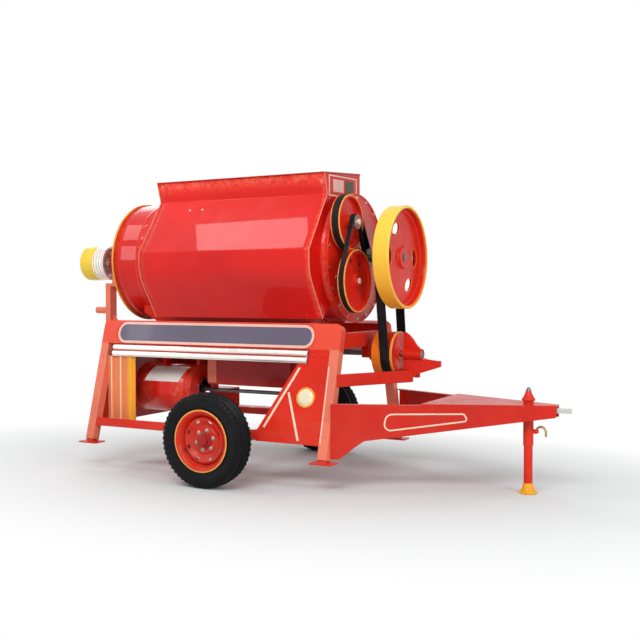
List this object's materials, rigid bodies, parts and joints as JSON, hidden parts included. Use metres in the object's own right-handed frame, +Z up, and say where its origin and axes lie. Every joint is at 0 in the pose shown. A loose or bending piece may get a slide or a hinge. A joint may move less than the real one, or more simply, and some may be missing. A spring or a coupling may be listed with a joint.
{
  "type": "threshing machine",
  "caption": "Towed drum threshing machine: long feed hood over a pegged drum, belt drive with flywheel at the front, leaning side frames on road wheels, drawbar with support leg.",
  "frame": {"origin": "on the ground under the middle of the machine's box", "axes": "+X along the machine towards the drawbar, +Y to the side of the straw outlet, +Z up"},
  "size_m": [4.538, 2.07, 2.47],
  "materials": {
    "red_paint": "gloss paint",
    "deep_red_paint": "satin paint",
    "yellow_paint": "gloss paint",
    "worked_steel": "turned or drawn steel",
    "dark_steel": "oiled steel",
    "polished_strip": "polished",
    "belt_rubber": "matt",
    "tyre_rubber": "matt"
  },
  "bodies": {
    "frame": {"near_side_beam": "red_paint", "near_rear_leg": "red_paint", "near_front_leg": "red_paint", "near_bottom_rail": "red_paint", "near_rib_panel": "red_paint", "near_gusset_plate": "red_paint", "near_input_brace": "red_paint", "near_tongue_plate": "red_paint", "near_trim_strip": "polished_strip", "far_side_beam": "red_paint", "far_rear_leg": "red_paint", "far_front_leg": "red_paint", "far_bottom_rail": "red_paint", "far_rib_panel": "red_paint", "far_gusset_plate": "red_paint", "far_input_brace": "red_paint", "far_tongue_plate": "red_paint", "far_trim_strip": "polished_strip", "rear_top_cross": "red_paint", "front_top_cross": "red_paint", "drum_casing": "red_paint", "feed_hood": "red_paint", "front_end_wall": "red_paint", "grain_trunk": "red_paint", "straw_spout": "red_paint", "blower_housing": "red_paint", "rear_bearing_stand": "red_paint", "pto_bracket": "red_paint", "tongue_top_plate": "red_paint", "jack_sleeve": "red_paint", "axle_beam": "deep_red_paint", "rear_end_wall": "deep_red_paint", "concave_grate": "dark_steel", "hitch_bar": "worked_steel", "main_belts": "belt_rubber", "feed_belt": "belt_rubber", "counter_belt": "belt_rubber", "fan_belt": "belt_rubber"},
    "rotor": {"threshing_rotor": "dark_steel", "rear_pulley": "worked_steel", "flywheel": "red_paint", "drive_pulley": "red_paint"},
    "feed": {"feed_shaft": "worked_steel", "feed_pulley": "red_paint"},
    "counter": {"counter_shaft": "worked_steel", "counter_pulley": "red_paint"},
    "input": {"input_shaft": "dark_steel", "input_pulley": "red_paint"},
    "fan": {"fan_rotor": "dark_steel"},
    "sieve": {"sieve_box": "red_paint"},
    "near_wheel": {"near_tyre": "tyre_rubber", "near_rim": "red_paint"},
    "far_wheel": {"far_tyre": "tyre_rubber", "far_rim": "red_paint"},
    "prop": {"prop_leg": "yellow_paint"},
    "latch": {"prop_latch": "yellow_paint"},
    "near_rear_slide": {"near_rear_foot": "red_paint"},
    "near_front_slide": {"near_front_foot": "red_paint"},
    "far_rear_slide": {"far_rear_foot": "red_paint"},
    "far_front_slide": {"far_front_foot": "red_paint"}
  },
  "joints": [
    {"name": "drum_spin", "type": "hinge", "parent": "frame", "child": "rotor", "pos_m": [0, 0, 1.772], "axis": [1, 0, 0], "continuous": true},
    {"name": "feed_spin", "type": "hinge", "parent": "frame", "child": "feed", "pos_m": [0.611, -0.33, 2.04], "axis": [1, 0, 0], "continuous": true},
    {"name": "counter_spin", "type": "hinge", "parent": "frame", "child": "counter", "pos_m": [0.611, -0.33, 1.584], "axis": [1, 0, 0], "continuous": true},
    {"name": "input_spin", "type": "hinge", "parent": "frame", "child": "input", "pos_m": [0.711, 0.12, 1], "axis": [1, 0, 0], "continuous": true},
    {"name": "fan_spin", "type": "hinge", "parent": "frame", "child": "fan", "pos_m": [-0.289, -0.19, 0.662], "axis": [1, 0, 0], "continuous": true},
    {"name": "sieve_shake", "type": "slide", "parent": "frame", "child": "sieve", "axis": [1, 0, 0], "range_m": [-0.02, 0.02]},
    {"name": "near_wheel_spin", "type": "hinge", "parent": "frame", "child": "near_wheel", "pos_m": [-0.289, -0.945, 0.365], "axis": [0, 1, 0], "continuous": true},
    {"name": "far_wheel_spin", "type": "hinge", "parent": "frame", "child": "far_wheel", "pos_m": [-0.289, 0.945, 0.365], "axis": [0, 1, 0], "continuous": true},
    {"name": "prop_slide", "type": "slide", "parent": "frame", "child": "prop", "axis": [0, 0, 1], "range_m": [0, 0.26]},
    {"name": "latch_turn", "type": "hinge", "parent": "frame", "child": "latch", "pos_m": [2.009, 0, 0.465], "axis": [0, -1, 0], "range_deg": [0, 45]},
    {"name": "near_rear_foot_slide", "type": "slide", "parent": "frame", "child": "near_rear_slide", "axis": [0, -0.2545, -0.9671], "range_m": [0, 0.2]},
    {"name": "near_front_foot_slide", "type": "slide", "parent": "frame", "child": "near_front_slide", "axis": [0, -0.2545, -0.9671], "range_m": [0, 0.2]},
    {"name": "far_rear_foot_slide", "type": "slide", "parent": "frame", "child": "far_rear_slide", "axis": [0, 0.2545, -0.9671], "range_m": [0, 0.2]},
    {"name": "far_front_foot_slide", "type": "slide", "parent": "frame", "child": "far_front_slide", "axis": [0, 0.2545, -0.9671], "range_m": [0, 0.2]}
  ],
  "couplings": [
    {"joint": "feed_spin", "follows": "drum_spin", "ratio": 0.34855},
    {"joint": "counter_spin", "follows": "drum_spin", "ratio": 0.08132},
    {"joint": "input_spin", "follows": "drum_spin", "ratio": 1.0561},
    {"joint": "fan_spin", "follows": "drum_spin", "ratio": 1.4607}
  ]
}
